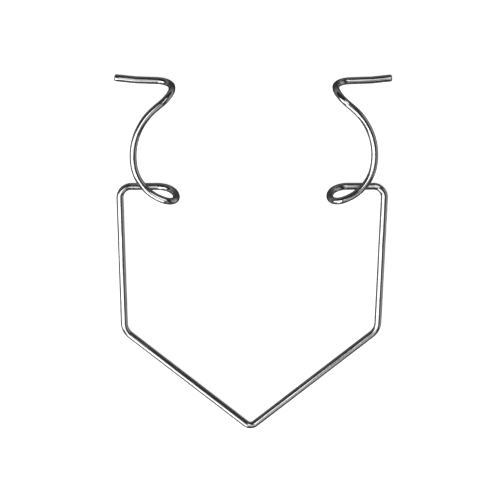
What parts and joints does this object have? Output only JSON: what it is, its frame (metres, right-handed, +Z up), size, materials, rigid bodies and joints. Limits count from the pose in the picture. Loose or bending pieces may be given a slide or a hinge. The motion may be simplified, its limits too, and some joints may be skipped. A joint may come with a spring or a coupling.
{
  "type": "wire eyelid speculum",
  "caption": "Eyelid retractor bent from one polished spring wire: a V spring, side arms and outward-bowed blades on lid hooks; squeezing the arms narrows it.",
  "frame": {"origin": "middle of the outline in plan, on the surface that the wire lies on with its hooks up", "axes": "+X towards the right arm, +Y from the V spring towards the free ends, +Z up, the way the lid hooks stand"},
  "size_m": [0.031, 0.0414, 0.0043],
  "materials": {
    "polished_wire": "highly polished stainless spring wire, drawn and bent cold"
  },
  "bodies": {
    "spring_base": {"spring_bend": "polished_wire", "left_spring_root": "polished_wire", "right_spring_root": "polished_wire"},
    "left_arm": {"left_spring_leg": "polished_wire", "left_side_arm": "polished_wire", "left_lid_bridge": "polished_wire", "left_near_hook": "polished_wire", "left_lid_blade": "polished_wire", "left_far_hook": "polished_wire", "left_tail": "polished_wire"},
    "right_arm": {"right_spring_leg": "polished_wire", "right_side_arm": "polished_wire", "right_lid_bridge": "polished_wire", "right_near_hook": "polished_wire", "right_lid_blade": "polished_wire", "right_far_hook": "polished_wire", "right_tail": "polished_wire"}
  },
  "joints": [
    {"name": "left_arm_flex", "type": "hinge", "parent": "spring_base", "child": "left_arm", "pos_m": [-0.00671, -0.01512, 0.0004], "axis": [0, 0, -1], "range_deg": [-4, 11], "stiffness_Nm_per_rad": 0.168},
    {"name": "right_arm_flex", "type": "hinge", "parent": "spring_base", "child": "right_arm", "pos_m": [0.00671, -0.01512, 0.0004], "axis": [0, 0, 1], "range_deg": [-4, 11], "stiffness_Nm_per_rad": 0.168}
  ]
}
